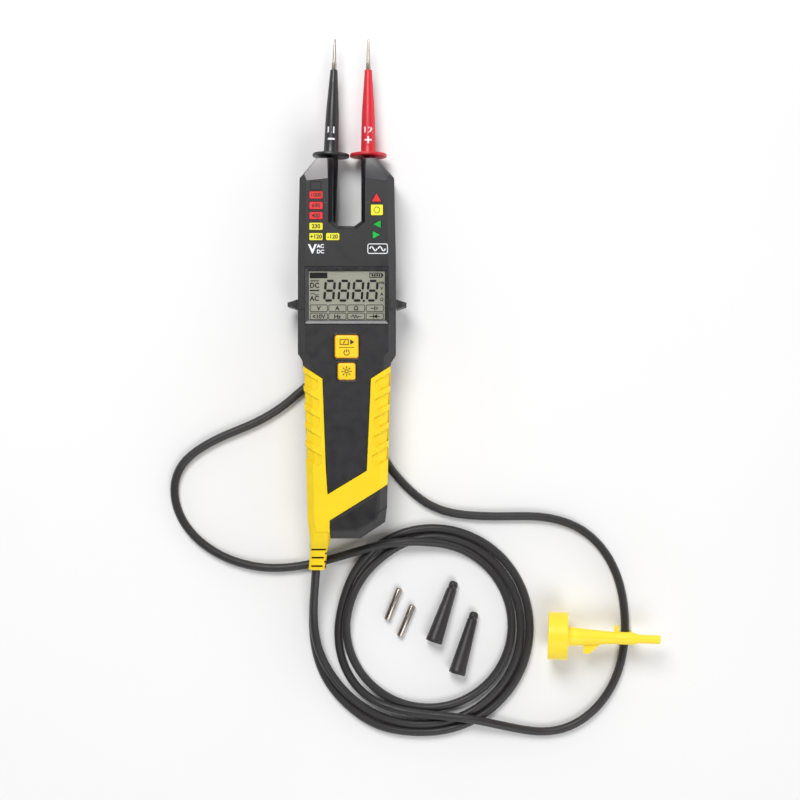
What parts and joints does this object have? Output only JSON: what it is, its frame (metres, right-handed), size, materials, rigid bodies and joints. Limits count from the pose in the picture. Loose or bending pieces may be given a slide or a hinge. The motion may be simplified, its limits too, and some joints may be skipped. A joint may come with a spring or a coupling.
{
  "type": "two-pole voltage tester",
  "caption": "Two-pole voltage tester with open current jaw, display and buttons, yellow grip, fixed and hand probes, coiled cord, cap and loose probe tips.",
  "frame": {"origin": "on the flat rear rest face, on the midline, behind the middle of the instrument", "axes": "+Z out of the display, +Y towards the probe tips, +X to the right as seen from the front"},
  "size_m": [0.2913, 0.4144, 0.0335],
  "materials": {
    "black_plastic": "fine satin texture",
    "yellow_grip": "satin soft-touch",
    "key_yellow": "satin",
    "red_plastic": "satin",
    "nickel": "satin nickel plate",
    "circuit_green": "solder resist",
    "cord_rubber": "satin silicone",
    "cap_yellow": "satin",
    "clear_window": "clear",
    "lcd_glass": "smooth",
    "backlight_white": "matt",
    "connector_rubber": "matt",
    "membrane_rubber": "matt",
    "core_steel": "laminated",
    "copper": "enamelled winding",
    "cell_jacket": "printed sleeve"
  },
  "bodies": {
    "instrument": {"front_shell": "black_plastic", "rear_shell": "black_plastic", "finger_guard_left": "black_plastic", "finger_guard_right": "black_plastic", "buzzer": "black_plastic", "grip_overmould": "yellow_grip", "cable_boot": "yellow_grip", "red_probe_body": "red_plastic", "red_probe_pin": "nickel", "probe_clip": "nickel", "case_screw_1": "nickel", "case_screw_2": "nickel", "case_screw_3": "nickel", "case_screw_4": "nickel", "cell_contact_1": "nickel", "cell_contact_2": "nickel", "mode_switch": "nickel", "light_switch": "nickel", "main_circuit_board": "circuit_green", "cord_lead": "cord_rubber", "cord_loop": "cord_rubber", "cord_tail": "cord_rubber", "cord_coil": "cord_rubber", "protective_cap": "cap_yellow", "lcd_window": "clear_window", "indicator_lens_left": "clear_window", "indicator_lens_right": "clear_window", "lcd_panel": "lcd_glass", "lcd_backlight": "backlight_white", "lcd_connector": "connector_rubber", "keypad_membrane": "membrane_rubber", "jaw_core": "core_steel", "sense_coil_left": "copper", "sense_coil_right": "copper", "cell_1": "cell_jacket", "cell_2": "cell_jacket"},
    "mode_button": {"mode_button": "key_yellow"},
    "light_button": {"light_button": "key_yellow"},
    "battery_cover": {"battery_cover": "black_plastic", "cover_screw": "nickel", "cell_bridge": "nickel", "cell_spring_1": "nickel", "cell_spring_2": "nickel"},
    "hand_probe": {"black_probe_body": "black_plastic", "black_probe_pin": "nickel", "black_probe_boot": "cord_rubber"},
    "tip_adapter_1": {"tip_adapter_1": "nickel"},
    "tip_adapter_2": {"tip_adapter_2": "nickel"},
    "tip_cover_1": {"tip_cover_1": "cord_rubber"},
    "tip_cover_2": {"tip_cover_2": "cord_rubber"}
  },
  "joints": [
    {"name": "mode_button_press", "type": "slide", "parent": "instrument", "child": "mode_button", "axis": [0, 0, -1], "range_m": [0, 0.001], "stiffness_N_per_m": 500, "springref_m": -0.001},
    {"name": "light_button_press", "type": "slide", "parent": "instrument", "child": "light_button", "axis": [0, 0, -1], "range_m": [0, 0.001], "stiffness_N_per_m": 500, "springref_m": -0.001},
    {"name": "battery_cover_slide", "type": "slide", "parent": "instrument", "child": "battery_cover", "axis": [0, -1, 0], "range_m": [0, 0.018]},
    {"name": "hand_probe_slide", "type": "slide", "parent": "instrument", "child": "hand_probe", "axis": [0.0349, 0.9994, 0], "range_m": [0, 0.015]},
    {"name": "tip_adapter_1_lift", "type": "slide", "parent": "instrument", "child": "tip_adapter_1", "axis": [0, 0, 1], "range_m": [0, 0.03]},
    {"name": "tip_adapter_2_lift", "type": "slide", "parent": "instrument", "child": "tip_adapter_2", "axis": [0, 0, 1], "range_m": [0, 0.03]},
    {"name": "tip_cover_1_lift", "type": "slide", "parent": "instrument", "child": "tip_cover_1", "axis": [0, 0, 1], "range_m": [0, 0.03]},
    {"name": "tip_cover_2_lift", "type": "slide", "parent": "instrument", "child": "tip_cover_2", "axis": [0, 0, 1], "range_m": [0, 0.03]}
  ]
}
